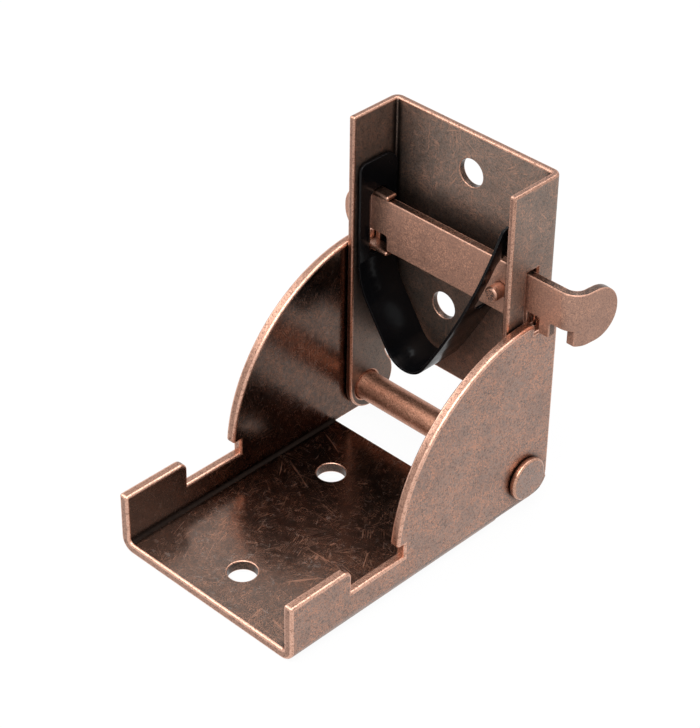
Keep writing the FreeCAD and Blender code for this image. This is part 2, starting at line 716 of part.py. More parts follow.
rear_tops = edges_where(spring.Shape, lambda m, d: abs(d.y) < 0.1 and m.z > (pivot_z + bar_high).value
                        and near(m.y, strip_back + pivot_y) and abs(d.x) > 0.5)
fillet(spring, "SpringCorners", rear_tops, cell("spring_corner"))
front_tops = edges_where(spring.Shape, lambda m, d: abs(d.y) < 0.1 and m.z > (pivot_z + bar_high).value
                         and near(m.y, strip_front + pivot_y) and abs(d.x) > 0.5)
fillet(spring, "SpringTips", front_tops, cell("spring_tip"))

# Checks and files.
for obj in doc.Objects:
    bad = [word for word in obj.State if word in ("Invalid", "Error")]
    if bad:
        raise RuntimeError("%s: %s" % (obj.Label, bad))
for body in (base, leg, pin, bar, stud, spring):
    shape = body.Shape
    if shape.isNull() or not shape.isValid() or len(shape.Solids) != 1:
        raise RuntimeError("%s is not one valid solid" % body.Label)
    shape.exportStep(os.path.join("parts", body.Label + ".step"))
    box = shape.BoundBox
    print("%-14s volume %8.1f  X %6.1f..%5.1f  Y %6.1f..%5.1f  Z %5.1f..%5.1f" % (
        body.Label, shape.Volume, box.XMin, box.XMax, box.YMin, box.YMax, box.ZMin, box.ZMax))
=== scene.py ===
"""Looks of a folding leg bracket in antique copper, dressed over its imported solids.

The bracket's leaves, pin, latch bar, stud and spring keep their solid shapes. Each gets softly
rounded edges, a finish for its faces and a brighter, rubbed finish for its cut edges.
"""

import logging
import math
from dataclasses import dataclass, field
from enum import Enum
from typing import Callable, Dict, List, Optional, Tuple

import bpy
from mathutils import Matrix, Vector


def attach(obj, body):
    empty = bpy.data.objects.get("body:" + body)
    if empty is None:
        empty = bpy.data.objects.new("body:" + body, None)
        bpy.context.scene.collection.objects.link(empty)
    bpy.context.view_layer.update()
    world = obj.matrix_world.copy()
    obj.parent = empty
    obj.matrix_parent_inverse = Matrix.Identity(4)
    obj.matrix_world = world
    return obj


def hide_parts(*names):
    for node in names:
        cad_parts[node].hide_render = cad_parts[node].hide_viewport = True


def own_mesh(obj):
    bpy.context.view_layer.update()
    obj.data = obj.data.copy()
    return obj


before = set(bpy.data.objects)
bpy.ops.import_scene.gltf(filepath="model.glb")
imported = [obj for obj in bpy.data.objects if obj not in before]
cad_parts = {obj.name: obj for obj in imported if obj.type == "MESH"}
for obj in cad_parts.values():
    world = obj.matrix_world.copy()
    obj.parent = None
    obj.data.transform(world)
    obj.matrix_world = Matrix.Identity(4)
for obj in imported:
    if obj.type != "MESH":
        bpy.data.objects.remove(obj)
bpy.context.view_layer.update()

MM = 0.001

Colour = Tuple[float, float, float]
Socket = bpy.types.NodeSocket

SHADE: Colour = (0.012, 0.009, 0.008)
# Near-black colour mixed into the pieces' inner corners.
CORNER_DARK: Colour = (0.010, 0.007, 0.006)

log = logging.getLogger("leg_bracket")


class Zone(Enum):
    """Kinds of surface on a bent and punched sheet part."""

    FACE = "face"
    INSIDE = "inside"
    BEND = "bend"
    CUT = "cut"
    ROUND = "round"
    PAD = "pad"
    BORE = "bore"


@dataclass(frozen=True)
class Scratches:
    """One family of scratches that run the same way."""

    angle: float
    density: float = 1.4
    stretch: float = 30.0
    width: float = 0.011
    breaks: float = 0.30


class Nodes:
    """Small builder for one material's node tree."""

    def __init__(self, name: str) -> None:
        """Makes an empty material with its output and object coordinates in millimetres.

        Args:
            name: Name of the material.
        """
        self.material = bpy.data.materials.new(name)
        self.material.use_nodes = True
        self.tree = self.material.node_tree
        self.tree.nodes.clear()
        self.output = self.tree.nodes.new("ShaderNodeOutputMaterial")
        coordinates = self.tree.nodes.new("ShaderNodeTexCoord")
        scale = self.add("ShaderNodeVectorMath", operation="SCALE")
        self.link(coordinates.outputs["Object"], scale.inputs[0])
        scale.inputs["Scale"].default_value = 1.0 / MM
        self.place = scale.outputs[0]
        self.normal = coordinates.outputs["Normal"]

    def add(self, kind: str, **settings: object) -> bpy.types.Node:
        """Adds a node and sets its properties.

        Args:
            kind: Node type.
            **settings: Properties of the node.

        Returns:
            The new node.
        """
        node = self.tree.nodes.new(kind)
        for key, value in settings.items():
            setattr(node, key, value)
        return node

    def link(self, source: Socket, target: Socket) -> None:
        """Joins two sockets."""
        self.tree.links.new(source, target)

    def feed(self, target: Socket, value: object) -> None:
        """Sets a socket to a number or joins it to another socket.

        Args:
            target: Input socket.
            value: A number, a colour or an output socket.
        """
        if isinstance(value, bpy.types.NodeSocket):
            self.link(value, target)
        else:
            target.default_value = value

    def math(self, operation: str, a: object, b: object = 0.0, clamp: bool = False) -> Socket:
        """Works out one number from two.

        Args:
            operation: Operation of the math node.
            a: First number or socket.
            b: Second number or socket.
            clamp: Keeps the result between 0 and 1.

        Returns:
            The result's socket.
        """
        node = self.add("ShaderNodeMath", operation=operation, use_clamp=clamp)
        self.feed(node.inputs[0], a)
        self.feed(node.inputs[1], b)
        return node.outputs[0]

    def ramp(self, value: Socket, low: float, high: float, start: float = 0.0, end: float = 1.0) -> Socket:
        """Maps a range smoothly to another.

        Args:
            value: Socket to map.
            low: Value that gives start.
            high: Value that gives end.
            start: Result at low.
            end: Result at high.

        Returns:
            The mapped socket.
        """
        node = self.add("ShaderNodeMapRange", interpolation_type="SMOOTHSTEP")
        self.link(value, node.inputs["Value"])
        for key, number in (("From Min", low), ("From Max", high), ("To Min", start), ("To Max", end)):
            node.inputs[key].default_value = number
        return node.outputs["Result"]

    def noise(self, scale: float, detail: float = 3.0, roughness: float = 0.55,
              vector: Optional[Socket] = None, warp: float = 0.0) -> Socket:
        """Noise over the surface, with its scale in cycles per millimetre.

        Args:
            scale: Cycles per millimetre.
            detail: Octaves.
            roughness: Weight of the finer octaves.
            vector: Coordinates, or None for the object's own.
            warp: Distortion.

        Returns:
            The noise value's socket.
        """
        node = self.add("ShaderNodeTexNoise")
        self.link(vector or self.place, node.inputs["Vector"])
        settings = {"Scale": scale, "Detail": detail, "Roughness": roughness, "Distortion": warp}
        for key, number in settings.items():
            node.inputs[key].default_value = number
        return node.outputs["Fac"]

    def mix(self, amount: object, low: object, high: object) -> Socket:
        """Mixes two colours.

        Args:
            amount: Share of the second colour.
            low: First colour or socket.
            high: Second colour or socket.

        Returns:
            The mixed colour's socket.
        """
        node = self.add("ShaderNodeMix", data_type="RGBA")
        self.feed(node.inputs[0], amount)
        for index, colour in ((6, low), (7, high)):
            if isinstance(colour, tuple):
                colour = (*colour, 1.0)
            self.feed(node.inputs[index], colour)
        return node.outputs[2]

    def axis_mask(self, axis: str) -> Socket:
        """A mask that is 1 where the surface faces along one of the object's axes."""
        parts = self.add("ShaderNodeSeparateXYZ")
        self.link(self.normal, parts.inputs[0])
        return self.math("GREATER_THAN", self.math("ABSOLUTE", parts.outputs[axis]), 0.6)

    def on_face(self) -> Socket:
        """Millimetre coordinates laid flat on each face, so that scratches lie in its plane.

        Returns:
            The flat coordinates' socket.
        """
        parts = self.add("ShaderNodeSeparateXYZ")
        self.link(self.place, parts.inputs[0])
        x, y, z = (parts.outputs[i] for i in range(3))
        laid: List[Socket] = []
        for first, second, third in ((x, z, y), (x, y, z), (y, z, x)):
            joined = self.add("ShaderNodeCombineXYZ")
            self.link(first, joined.inputs[0])
            self.link(second, joined.inputs[1])
            self.link(self.math("MULTIPLY", third, 0.35), joined.inputs[2])
            laid.append(joined.outputs[0])
        result = laid[0]
        for axis, other in (("Z", laid[1]), ("X", laid[2])):
            choose = self.add("ShaderNodeMix", data_type="VECTOR")
            self.link(self.axis_mask(axis), choose.inputs[0])
            self.link(result, choose.inputs[4])
            self.link(other, choose.inputs[5])
            result = choose.outputs[1]
        return result

    def bent(self, flat: Socket, scale: float, reach: float) -> Socket:
        """Shifts coordinates a little by a slow noise, so that straight lines come out curved.

        Args:
            flat: Coordinates to shift.
            scale: Cycles of the noise per millimetre.
            reach: Largest shift in millimetres.

        Returns:
            The shifted coordinates' socket.
        """
        slow = self.add("ShaderNodeTexNoise")
        self.link(flat, slow.inputs["Vector"])
        slow.inputs["Scale"].default_value = scale
        slow.inputs["Detail"].default_value = 0.0
        shift = self.add("ShaderNodeVectorMath", operation="MULTIPLY_ADD")
        self.link(slow.outputs["Color"], shift.inputs[0])
        shift.inputs[1].default_value = (reach, reach, 0.0)
        self.link(flat, shift.inputs[2])
        return shift.outputs[0]

    def hairlines(self, flat: Socket, scratch: "Scratches") -> Socket:
        """Thin, long, slightly curved lines that run one way on a face and break up at random.

        Args:
            flat: Coordinates that lie flat on the face.
            scratch: Size and direction of the lines.

        Returns:
            A mask that is 1 on a line.
        """
        turn = self.add("ShaderNodeMapping")
        self.link(flat, turn.inputs["Vector"])
        turn.inputs["Rotation"].default_value = (0.0, 0.0, math.radians(scratch.angle))
        turn.inputs["Location"].default_value = (scratch.angle, scratch.angle * 0.37, 0.0)
        squeeze = self.add("ShaderNodeVectorMath", operation="MULTIPLY")
        self.link(turn.outputs[0], squeeze.inputs[0])
        squeeze.inputs[1].default_value = (1.0 / scratch.stretch, 1.0, 1.0)
        value = self.noise(scratch.density, 1.0, 0.5, squeeze.outputs[0])
        ridge = self.math("ABSOLUTE", self.math("SUBTRACT", value, 0.5))
        line = self.ramp(ridge, 0.0, scratch.width, 1.0, 0.0)
        gaps = self.ramp(self.noise(scratch.breaks, 1.0, 0.5, turn.outputs[0]), 0.50, 0.58)
        return self.math("MULTIPLY", line, gaps)

    def edge_wear(self, radius: float, low: float, high: float) -> Socket:
        """A mask that is 1 close to an edge of the piece.

        Args:
            radius: Reach of the mask in millimetres.
            low: Turn of the normal where wear starts.
            high: Turn of the normal where wear is full.

        Returns:
            The mask's socket.
        """
        rounded = self.add("ShaderNodeBevel", samples=4)
        rounded.inputs["Radius"].default_value = radius * MM
        true = self.add("ShaderNodeNewGeometry")
        dot = self.add("ShaderNodeVectorMath", operation="DOT_PRODUCT")
        self.link(rounded.outputs[0], dot.inputs[0])
        self.link(true.outputs["Normal"], dot.inputs[1])
        return self.ramp(self.math("SUBTRACT", 1.0, dot.outputs["Value"]), low, high)

    def nook_shade(self, reach: float, low: float, high: float) -> Socket:
        """A mask of painted shade that is 1 where another piece lies close in front of the surface.

        Args:
            reach: Reach of the mask in millimetres.
            low: Openness at which the shade starts.
            high: Openness at which it is full.

        Returns:
            The mask's socket.
        """
        shade = self.add("ShaderNodeAmbientOcclusion", samples=4)
        shade.inputs["Distance"].default_value = reach * MM
        return self.ramp(shade.outputs["AO"], low, high)

    def corner_darkening(self, reach: float) -> Socket:
        """A mask that is 1 in inner corners of the piece.

        Args:
            reach: Reach of the mask in millimetres.

        Returns:
            The mask's socket.
        """
        shade = self.add("ShaderNodeAmbientOcclusion", samples=4, only_local=True)
        shade.inputs["Distance"].default_value = reach * MM
        return self.ramp(shade.outputs["AO"], 0.95, 0.80)

    def bump(self, height: Socket, strength: float, depth: float) -> Socket:
        """Turns a height into a normal.

        Args:
            height: Height mask.
            strength: Strength of the effect.
            depth: Depth in millimetres.

        Returns:
            The normal's socket.
        """
        node = self.add("ShaderNodeBump")
        node.inputs["Strength"].default_value = strength
        node.inputs["Distance"].default_value = depth * MM
        self.link(height, node.inputs["Height"])
        return node.outputs[0]

    def surface(self, colour: object, roughness: object, normal: Optional[Socket],
                metallic: float) -> bpy.types.Material:
        """Ends the tree in a principled surface.

        Args:
            colour: Base colour or its socket.
            roughness: Roughness or its socket.
            normal: Normal socket, or None.
            metallic: Metallic share.

        Returns:
            The finished material.
        """
        self.shader = shader = self.add("ShaderNodeBsdfPrincipled")
        self.feed(shader.inputs["Base Color"], (*colour, 1.0) if isinstance(colour, tuple) else colour)
        self.feed(shader.inputs["Roughness"], roughness)
        shader.inputs["Metallic"].default_value = metallic
        if normal is not None:
            self.link(normal, shader.inputs["Normal"])
        self.link(shader.outputs[0], self.output.inputs["Surface"])
        return self.material


@dataclass(frozen=True)
class AntiqueCopper:
    """Copper plate darkened to brown, with bare copper grain, rubbed hairlines, haze and worn edges."""

    name: str
    dark: Colour = (0.120, 0.084, 0.072)
    brown: Colour = (0.332, 0.234, 0.196)
    copper: Colour = (0.620, 0.310, 0.205)
    grey: Colour = (0.360, 0.330, 0.310)
    edge: Colour = (0.700, 0.410, 0.300)
    speckle: float = 0.90
    pits: float = 0.90
    clouds: float = 0.42
    hairline: float = 0.85
    scratch_rough: float = 0.50
    haze: float = 0.20
    wear: float = 0.30
    # Share of the darkening in the piece's inner corners.
    darker_corners: float = 0.85
    rough: float = 0.28
    relief: float = 0.12
    tint: float = 0.0
    # Painted shade where another piece lies close in front of the surface: its share, reach in millimetres
    # and openness range.
    painted_nook_shade: float = 0.0
    nook_reach: float = 7.0
    nook_range: Tuple[float, float] = (0.62, 0.30)
    # Painted light: the share of the pale colour towards the open front, on the plate and on the side
    # walls.
    front: float = 0.0
    painted_light_walls: float = 0.0
    # Painted shade on the side walls: its share, the axis and the range along which it deepens.
    shelter: float = 0.0
    shelter_axis: str = "Y"
    shelter_range: Tuple[float, float] = (-6.0, 4.0)
    pale: Colour = (0.300, 0.235, 0.205)
    scratches: Tuple[Scratches, ...] = (
        Scratches(14.0), Scratches(58.0, 1.7, 24.0), Scratches(103.0, 1.3, 34.0),
        Scratches(149.0, 1.9, 22.0), Scratches(81.0, 2.6, 7.0, 0.026, 0.9),
        Scratches(171.0, 2.4, 8.0, 0.026, 0.8),
    )

    def painted_front_light(self, n: Nodes, colour: Socket) -> Socket:
        """Paints light onto the finish: paler towards the open front, more on the side walls than on the
        plate.

        Args:
            n: Nodes of the material.
            colour: Colour so far.

        Returns:
            The lightened colour's socket.
        """
        parts = n.add("ShaderNodeSeparateXYZ")
        n.link(n.place, parts.inputs[0])
        share = n.math("ADD", n.math("MULTIPLY", n.axis_mask("X"), self.painted_light_walls), self.front)
        return n.mix(n.math("MULTIPLY", n.ramp(parts.outputs["Y"], -2.0, -16.0), share), colour, self.pale)

    def painted_wall_shade(self, n: Nodes, colour: Socket) -> Socket:
        """Paints shade on the side walls where they stand close to other walls, darker along one axis.

        Args:
            n: Nodes of the material.
            colour: Colour so far.

        Returns:
            The darkened colour's socket.
        """
        parts = n.add("ShaderNodeSeparateXYZ")
        n.link(n.place, parts.inputs[0])
        depth = n.ramp(parts.outputs[self.shelter_axis], *self.shelter_range)
        deep = n.math("MULTIPLY", depth, self.shelter)
        return n.mix(n.math("MULTIPLY", n.axis_mask("X"), deep), colour, SHADE)

    def build(self) -> bpy.types.Material:
        """Builds the material.

        Returns:
            The finished material.
        """
        n = Nodes(self.name)
        flat = n.on_face()
        curved = n.bent(flat, 0.035, 14.0)
        clouds = n.ramp(n.noise(0.13, 3.0, 0.6, warp=0.5), 0.32, 0.68)
        mottle = n.noise(1.3, 4.0, 0.72, warp=0.4)
        grain = n.noise(3.4, 3.0, 0.70)
        patches = n.ramp(n.noise(0.28, 3.0, 0.6, flat, 0.5), 0.34, 0.62, 0.40, 1.0)
        colour = n.mix(n.math("MULTIPLY", n.ramp(grain, 0.50, 0.36), self.pits), self.brown, self.dark)
        colour = n.mix(n.math("MULTIPLY", n.ramp(mottle, 0.52, 0.34), self.clouds), colour, self.dark)
        colour = n.mix(n.math("MULTIPLY", clouds, self.clouds * 0.7), colour, self.dark)
        if self.tint:
            stain = n.ramp(n.noise(0.9, 5.0, 0.75, warp=0.8), 0.46, 0.66)
            colour = n.mix(n.math("MULTIPLY", stain, self.tint), colour, self.copper)
        specks = n.math("MULTIPLY", n.ramp(n.noise(4.4, 2.0, 0.65, warp=0.3), 0.49, 0.60), patches)
        specks = n.math("MULTIPLY", specks, self.speckle)
        lines: Optional[Socket] = None
        for scratch in self.scratches:
            mask = n.hairlines(curved, scratch)
            lines = mask if lines is None else n.math("MAXIMUM", lines, mask)
        rubbed = n.math("MULTIPLY", n.math("MULTIPLY", lines, patches), self.hairline, clamp=True)
        colour = n.mix(n.math("MAXIMUM", specks, rubbed), colour, self.copper)
        film = n.math("MULTIPLY", n.ramp(n.noise(0.75, 5.0, 0.80, warp=1.2), 0.53, 0.72), self.haze)
        colour = n.mix(film, colour, self.grey)
        # Painted light: paler towards the open front.
        if self.front or self.painted_light_walls:
            colour = self.painted_front_light(n, colour)
        # Painted shade on the side walls.
        if self.shelter:
            colour = self.painted_wall_shade(n, colour)
        worn = n.math("MULTIPLY", n.edge_wear(self.wear, 0.004, 0.10), n.ramp(mottle, 0.30, 0.60))
        colour = n.mix(worn, colour, self.edge)
        # Darker in the piece's inner corners.
        colour = n.mix(n.math("MULTIPLY", n.corner_darkening(1.4), self.darker_corners), colour, CORNER_DARK)
        # Painted shade where another piece lies close, such as behind the bar and around the pin heads.
        if self.painted_nook_shade:
            nook = n.nook_shade(self.nook_reach, *self.nook_range)
            colour = n.mix(n.math("MULTIPLY", nook, self.painted_nook_shade), colour, SHADE)
        dull = n.ramp(mottle, 0.3, 0.7, self.rough - 0.03, self.rough + 0.05)
        dull = n.math("ADD", dull, n.math("MULTIPLY", film, 0.30))
        dull = n.math("ADD", dull, n.math("MULTIPLY", specks, 0.10))
        dull = n.math("ADD", dull, n.math("MULTIPLY", rubbed, self.scratch_rough - self.rough), clamp=True)
        height = n.math("ADD", n.math("MULTIPLY", mottle, 0.5), n.math("MULTIPLY", grain, 0.5))
        height = n.math("SUBTRACT", height, n.math("MULTIPLY", lines, 0.35))
        return n.surface(colour, dull, n.bump(height, self.relief, 0.03), 1.0)


@dataclass(frozen=True)
class RubbedCopper:
    """Cut edges of the sheet, rubbed bright, with fine pits and a torn grain."""

    name: str
    low: Colour = (0.190, 0.105, 0.078)
    high: Colour = (0.480, 0.262, 0.188)
    bright: Colour = (0.820, 0.530, 0.420)
    rough: float = 0.30

    def build(self) -> bpy.types.Material:
        """Builds the material.

        Returns:
            The finished material.
        """
        n = Nodes(self.name)
        mottle = n.noise(2.4, 4.0, 0.7, warp=0.5)
        grain = n.noise(6.0, 3.0, 0.6)
        colour = n.mix(n.ramp(mottle, 0.34, 0.50), self.low, self.high)
        colour = n.mix(n.math("MULTIPLY", n.ramp(grain, 0.44, 0.36), 0.8), colour, self.low)
        colour = n.mix(n.math("MULTIPLY", n.ramp(grain, 0.56, 0.66), 0.7), colour, self.bright)
        rough = n.ramp(mottle, 0.3, 0.7, self.rough + 0.08, self.rough - 0.05)
        height = n.math("ADD", mottle, n.math("MULTIPLY", grain, 0.8))
        return n.surface(colour, rough, n.bump(height, 0.30, 0.05), 1.0)


@dataclass(frozen=True)
class BluedSpring:
    """Glossy black spring steel with fine dust and grey worn edges."""

    name: str
    black: Colour = (0.0025, 0.0025, 0.003)
    grey: Colour = (0.220, 0.220, 0.230)
    rough: float = 0.16
    specular: float = 0.11

    def build(self) -> bpy.types.Material:
        """Builds the material.

        Returns:
            The finished material.
        """
        n = Nodes(self.name)
        dust = n.noise(5.0, 4.0, 0.7)
        smear = n.noise(0.35, 4.0, 0.6, warp=0.8)
        colour = n.mix(n.math("MULTIPLY", n.ramp(dust, 0.68, 0.80), 0.25), self.black, self.grey)
        uneven = n.ramp(n.noise(1.8, 3.0), 0.3, 0.6, 0.1, 0.6)
        worn = n.math("MULTIPLY", n.edge_wear(0.10, 0.02, 0.20), uneven)
        colour = n.mix(worn, colour, self.grey)
        rough = n.ramp(smear, 0.3, 0.75, self.rough, self.rough + 0.12)
        finish = n.surface(colour, rough, n.bump(smear, 0.05, 0.05), 0.0)
        n.shader.inputs["Specular IOR Level"].default_value = self.specular
        return finish


@dataclass
class SheetPiece:
    """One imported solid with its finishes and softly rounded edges."""

    node: str
    finishes: Dict[Zone, bpy.types.Material]
    sort: Callable[[Vector, Vector], Zone]
    rounding: float = 0.45
    segments: int = 4
    rounded: Zone = Zone.CUT
    sharp: float = 38.0
    hole_share: float = 0.35
    softness: Callable[[Vector], float] = lambda at: 1.0

    def outer_edges(self, mesh: bpy.types.Mesh) -> Dict[int, float]:
        """Finds the edges that stand out, so that inner corners stay as they are.

        Args:
            mesh: Mesh of the solid, whose faces may not share their corners.

        Returns:
            Share of the rounding for each such edge, by the edge's index.
        """
        def key(index: int) -> Tuple[int, int, int]:
            """A corner's place in thousandths of a millimetre."""
            at = mesh.vertices[index].co
            return tuple(round(value / MM * 1000.0) for value in at)

        places = [key(index) for index in range(len(mesh.vertices))]
        sides: Dict[Tuple, List[bpy.types.MeshPolygon]] = {}
        for polygon in mesh.polygons:
            for first, second in polygon.edge_keys:
                sides.setdefault(tuple(sorted((places[first], places[second]))), []).append(polygon)
        found: Dict[int, float] = {}
        limit = math.cos(math.radians(self.sharp))
        holes = list(self.finishes).index(Zone.BORE) if Zone.BORE in self.finishes else -1
        for edge in mesh.edges:
            both = sides.get(tuple(sorted((places[edge.vertices[0]], places[edge.vertices[1]]))), [])
            if len(both) != 2 or min(side.area for side in both) < 1e-12:
                continue
            if both[0].normal.dot(both[1].normal) > limit:
                continue
            if both[0].normal.dot(both[1].center - both[0].center) < -1e-6:
                at_hole = holes in (both[0].material_index, both[1].material_index)
                ends = [mesh.vertices[index].co / MM for index in edge.vertices]
                share = self.hole_share if at_hole else 1.0
                found[edge.index] = share * min(self.softness(end) for end in ends)
        return found

    def dress(self) -> bpy.types.Object:
        """Gives the solid its finishes, by kind of surface, and rounds its outer edges.

        Returns:
            The dressed object.
        """
        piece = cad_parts[self.node]
        zones = list(self.finishes)
        piece.data.materials.clear()
        for material in self.finishes.values():
            piece.data.materials.append(material)
        for polygon in piece.data.polygons:
            zone = self.sort(polygon.center / MM, polygon.normal)
            polygon.material_index = zones.index(zone) if zone in zones else 0
        weights = piece.data.attributes.new("bevel_weight_edge", "FLOAT", "EDGE")
        for index, share in self.outer_edges(piece.data).items():
            weights.data[index].value = share
        weld = piece.modifiers.new("join corners", "WELD")
        weld.merge_threshold = 0.0005 * MM
        soft = piece.modifiers.new("rounded edges", "BEVEL")
        soft.width = self.rounding * MM
        soft.segments = self.segments
        soft.limit_method = "WEIGHT"
        soft.harden_normals = True
        soft.use_clamp_overlap = False
        soft.loop_slide = False
        soft.material = zones.index(self.rounded)
        return piece


@dataclass
class BaseLeaf:
    """Channel with the base plate, tabs, rails and two ears."""

    plate: float = 1.8
    wall_in: float = 17.2
    front: float = -22.7
    rear: float = 22.7
    scratches: Tuple[Scratches, ...] = (
        Scratches(14.0, 1.3, 44.0, 0.009, 0.22), Scratches(58.0, 1.6, 34.0, 0.009, 0.24),
        Scratches(103.0, 1.2, 48.0, 0.009, 0.20), Scratches(149.0, 1.8, 30.0, 0.009, 0.26),
        Scratches(81.0, 3.0, 10.0, 0.016, 0.70),
    )

    def zone(self, at: Vector, normal: Vector) -> Zone:
        """Kind of surface at a point of the base leaf.

        Args:
            at: Middle of the polygon in millimetres.
            normal: Its normal.

        Returns:
            The zone.
        """
        if abs(at.x) < self.wall_in - 1.0 and at.z < self.plate and abs(normal.z) < 0.3:
            at_end = min(abs(at.y - self.front), abs(at.y - self.rear)) < 0.1
            return Zone.CUT if at_end else Zone.BORE
        if abs(normal.x) < 0.2 and abs(at.x) > self.wall_in - 0.05 and at.z > self.plate:
            return Zone.CUT
        if abs(normal.y) > 0.95:
            return Zone.CUT
        if at.z > self.plate - 0.05 and abs(at.x) < self.wall_in + 0.05:
            return Zone.BEND if 0.15 < abs(normal.z) < 0.98 else Zone.INSIDE
        return Zone.FACE

    def softness(self, at: Vector) -> float:
        """Share of the rounding at a point, none at the foot of the ears behind the plate."""
        at_foot = abs(at.x) > self.wall_in - 1.2 and at.y > self.rear - 1.0 and at.z < 4.0
        return 0.0 if at_foot else 1.0

    def build(self) -> List[bpy.types.Object]:
        """Dresses the base leaf.

        Returns:
            The dressed objects.
        """
        finishes = {
            # Outside finish with painted shade where another piece lies close, such as around the pin
            # heads.
            Zone.FACE: AntiqueCopper("brown copper, outside of the base leaf", painted_nook_shade=0.90, nook_reach=1.6,
                                     nook_range=(0.88, 0.58)).build(),
            # Darker copy of the copper for the inside faces; the darker colours are painted shade. It adds
            # painted light towards the open front and painted shade on the side walls towards the rear.
            Zone.INSIDE: AntiqueCopper("dark copper, inside of the base leaf", dark=(0.050, 0.035, 0.028),
                                       brown=(0.115, 0.082, 0.068), copper=(0.420, 0.200, 0.125),
                                       grey=(0.300, 0.285, 0.270), speckle=0.60, clouds=0.30,
                                       hairline=0.80, haze=0.42, rough=0.19, tint=0.30, front=0.16,
                                       painted_light_walls=0.68, shelter=0.30, scratches=self.scratches).build(),
            Zone.BEND: AntiqueCopper("dark copper, inner bends", dark=(0.012, 0.009, 0.008),
                                     brown=(0.024, 0.018, 0.015), copper=(0.110, 0.062, 0.043),
                                     grey=(0.100, 0.092, 0.086), speckle=0.3, hairline=0.2,
                                     haze=0.10, rough=0.70).build(),
            Zone.CUT: RubbedCopper("brown copper, base edges", low=(0.140, 0.078, 0.057),
                                   high=(0.370, 0.206, 0.150), bright=(0.620, 0.380, 0.285)).build(),
            Zone.ROUND: RubbedCopper("rubbed copper, rounded base edges", low=(0.320, 0.178, 0.130),
                                     high=(0.710, 0.410, 0.302), bright=(0.930, 0.650, 0.525)).build(),
            Zone.BORE: AntiqueCopper("dark copper, screw holes", brown=(0.060, 0.045, 0.038), haze=0.1,
                                     dark=(0.025, 0.020, 0.018), speckle=0.2, hairline=0.2).build(),
        }
        return [SheetPiece("base_bracket", finishes, self.zone, rounded=Zone.ROUND,
                           softness=self.softness).dress()]


@dataclass
class LegLeaf:
    """Channel with the web, two side walls, slots, lugs and guide tongues."""

    wall_in: float = 15.75
    web_in: float = 34.6
    top: float = 59.2
    lugs_top: float = 13.0

    def zone(self, at: Vector, normal: Vector) -> Zone:
        """Kind of surface at a point of the leg leaf.

        Args:
            at: Middle of the polygon in millimetres.
            normal: Its normal.

        Returns:
            The zone.
        """
        inside = abs(at.x) < self.wall_in - 0.1
        if inside and at.y < self.web_in - 1.2:
            return Zone.CUT
        off_walls = abs(normal.y) < 0.5 and abs(at.x) < self.wall_in - 1.5
        if inside and off_walls and self.lugs_top < at.z < self.top - 0.1:
            return Zone.BORE
        if abs(normal.z) > 0.95 or (abs(normal.x) < 0.15 and abs(at.x) > self.wall_in + 0.05):
            return Zone.CUT
        return Zone.FACE

    def build(self) -> List[bpy.types.Object]:
        """Dresses the leg leaf.

        Returns:
            The dressed objects.
        """
        finishes = {
            # Leg finish with painted shade low on the side walls and where another piece lies close, such
            # as behind the bar.
            Zone.FACE: AntiqueCopper("grey-brown copper, leg leaf", dark=(0.105, 0.082, 0.070),
                                     brown=(0.250, 0.198, 0.168), copper=(0.540, 0.310, 0.220), clouds=0.26,
                                     speckle=0.55, pits=0.66, hairline=1.0, haze=0.30, rough=0.46,
                                     relief=0.20, painted_nook_shade=0.85, shelter=0.45, shelter_axis="Z",
                                     shelter_range=(36.0, 24.0)).build(),
            Zone.CUT: RubbedCopper("brown copper, leg edges", low=(0.115, 0.068, 0.052),
                                   high=(0.300, 0.170, 0.126), bright=(0.520, 0.325, 0.250)).build(),
            Zone.ROUND: RubbedCopper("rubbed copper, rounded leg edges", low=(0.220, 0.122, 0.090),
                                     high=(0.500, 0.278, 0.200), bright=(0.820, 0.520, 0.400)).build(),
            Zone.BORE: AntiqueCopper("dark copper, leg holes", brown=(0.060, 0.045, 0.038), haze=0.1,
                                     dark=(0.025, 0.020, 0.018), speckle=0.2, hairline=0.2).build(),
        }
        return [SheetPiece("leg_bracket", finishes, self.zone, rounding=0.38, rounded=Zone.ROUND).dress()]


@dataclass
class PivotPin:
    """Rivet with a round head outside each ear."""

    head_from: float = 19.0

    def zone(self, at: Vector, normal: Vector) -> Zone:
        """Kind of surface at a point of the pin.

        Args:
            at: Middle of the polygon in millimetres.
            normal: Its normal.

        Returns:
            The zone.
        """
        if abs(at.x) > self.head_from - 0.01:
            return Zone.FACE if abs(normal.x) > 0.97 else Zone.CUT
        return Zone.BORE

    def build(self) -> List[bpy.types.Object]:
        """Dresses the pivot pin.

        Returns:
            The dressed objects.
        """
        finishes = {
            Zone.FACE: AntiqueCopper("grey copper, pin heads", brown=(0.320, 0.245, 0.215), clouds=0.15,
                                     speckle=0.45, haze=0.4).build(),
            Zone.CUT: RubbedCopper("rubbed copper, pin rims", high=(0.600, 0.330, 0.230)).build(),
            Zone.BORE: AntiqueCopper("bright copper, pin rod", dark=(0.240, 0.115, 0.074),
                                     brown=(0.520, 0.255, 0.168), copper=(0.800, 0.440, 0.300), clouds=0.2,
                                     hairline=0.3, haze=0.05, darker_corners=0.6, rough=0.44, relief=0.20).build(),
        }
        return [SheetPiece("pivot_pin", finishes, self.zone, rounding=0.45, hole_share=0.3).dress()]


